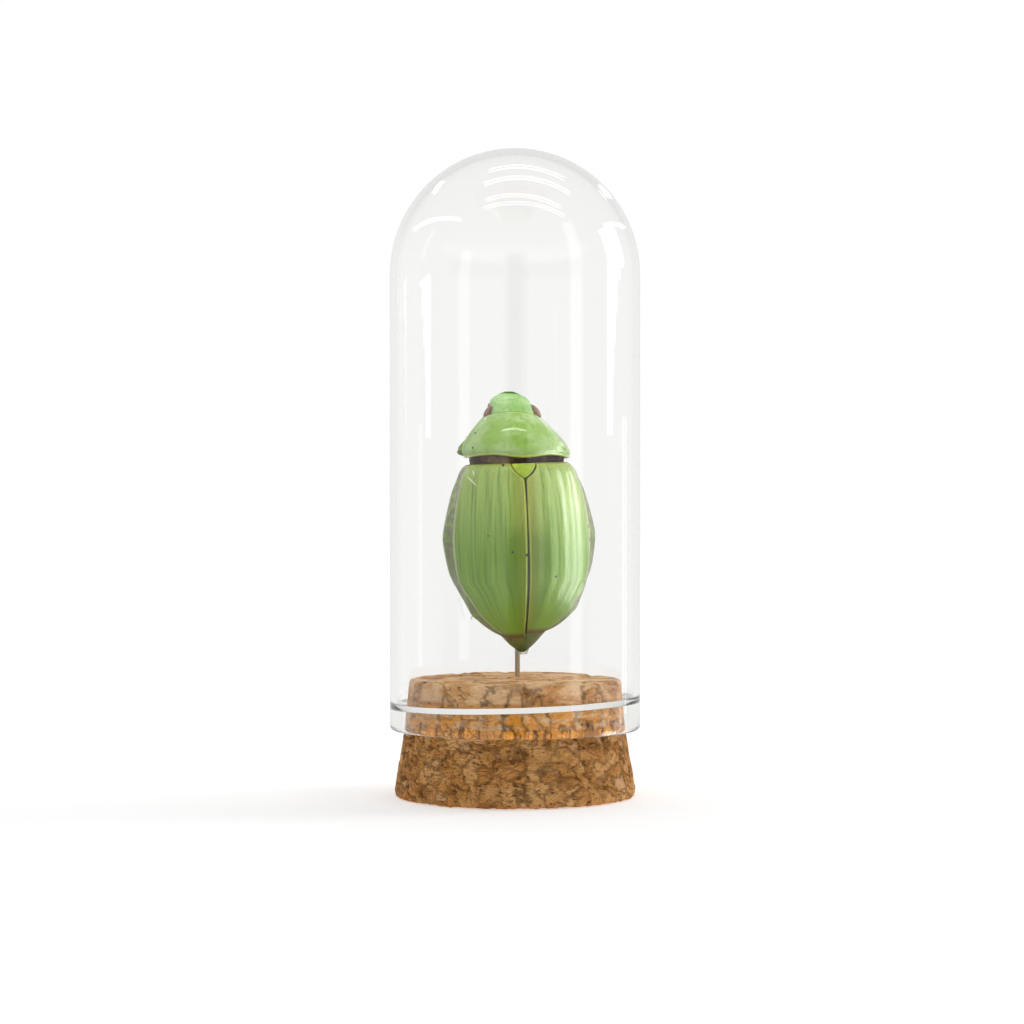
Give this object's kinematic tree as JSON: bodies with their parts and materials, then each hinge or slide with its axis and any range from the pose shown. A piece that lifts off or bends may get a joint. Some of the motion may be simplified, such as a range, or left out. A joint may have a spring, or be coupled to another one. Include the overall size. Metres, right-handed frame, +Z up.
{
  "type": "insect in glass dome",
  "caption": "A green ribbed scarab beetle stands on a pin, head up, inside a small clear glass bell closed by a cork base.",
  "frame": {"origin": "centre of the cork's lower face", "axes": "+Z up along the dome's axis, the beetle's back faces -Y and its left side is at -X"},
  "size_m": [0.03, 0.03, 0.0775],
  "materials": {
    "dome_glass": "clear, fire polished",
    "cork": "pressed cork granules, bare",
    "pin_steel": "drawn wire",
    "hot_glue": "milky hot-melt glue",
    "green_chitin": "glossy insect shell",
    "wing_case_chitin": "glossy ribbed insect shell",
    "yellow_green_chitin": "glossy insect shell",
    "brown_membrane": "dry dark membrane",
    "eye_brown": "glossy",
    "brown_chitin": "red-brown insect shell",
    "leg_chitin": "satin insect shell",
    "tail_chitin": "satin insect shell"
  },
  "bodies": {
    "root": {"glass_dome": "dome_glass", "cork_base": "cork", "pin": "pin_steel", "glue_bead": "hot_glue", "pronotum": "green_chitin", "head": "green_chitin", "eye_left": "eye_brown", "eye_right": "eye_brown", "antenna_left": "brown_chitin", "antenna_right": "brown_chitin", "mesothorax": "brown_membrane", "scutellum": "yellow_green_chitin", "elytron_left": "wing_case_chitin", "elytron_right": "wing_case_chitin", "thorax": "leg_chitin", "abdomen": "leg_chitin", "pygidium": "tail_chitin", "front_left_femur": "leg_chitin", "front_left_tibia": "leg_chitin", "front_left_tarsus": "brown_chitin", "front_right_femur": "leg_chitin", "front_right_tibia": "leg_chitin", "front_right_tarsus": "brown_chitin", "middle_left_femur": "leg_chitin", "middle_left_tibia": "leg_chitin", "middle_left_tarsus": "brown_chitin", "middle_right_femur": "leg_chitin", "middle_right_tibia": "leg_chitin", "middle_right_tarsus": "brown_chitin", "hind_left_femur": "leg_chitin", "hind_left_tibia": "leg_chitin", "hind_left_tarsus": "brown_chitin", "hind_right_femur": "leg_chitin", "hind_right_tibia": "leg_chitin", "hind_right_tarsus": "brown_chitin"}
  },
  "joints": []
}
